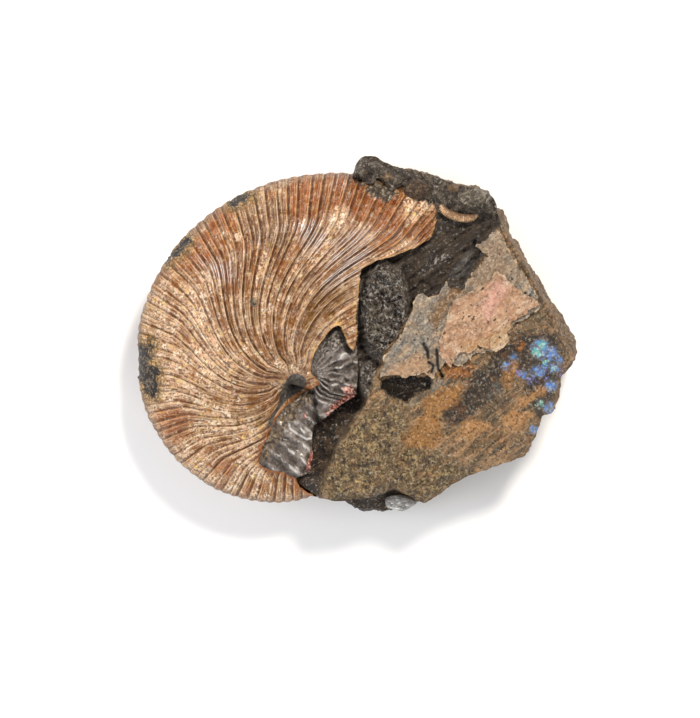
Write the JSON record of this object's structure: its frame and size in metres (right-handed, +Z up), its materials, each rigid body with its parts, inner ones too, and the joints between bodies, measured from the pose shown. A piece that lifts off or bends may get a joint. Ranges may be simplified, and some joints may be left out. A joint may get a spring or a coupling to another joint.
{
  "type": "ammonite fossil",
  "caption": "Ribbed, pearly ammonite lying flat in a broken block of dark rock, with its last whorl broken away and sheets of mother-of-pearl on the rock's face.",
  "frame": {"origin": "centre of the bounding box in plan, on the flat underside of the rock", "axes": "+Z up, along the coil's axis; +X from the shell towards the rock's far corner; +Y towards the rim behind the shell"},
  "size_m": [0.0884, 0.0709, 0.0231],
  "materials": {
    "copper_nacre": "satin, pearly copper",
    "grey_cast": "glossy",
    "dark_rock": "rough, granular",
    "pale_nacre": "satin, pearly",
    "cream_shell": "matt",
    "grey_shell": "satin"
  },
  "bodies": {
    "root": {"shell": "copper_nacre", "inner_cast": "grey_cast", "rock": "dark_rock", "pearl_sheet": "pale_nacre", "ribbed_scrap": "cream_shell", "pale_chip": "grey_shell"}
  },
  "joints": []
}
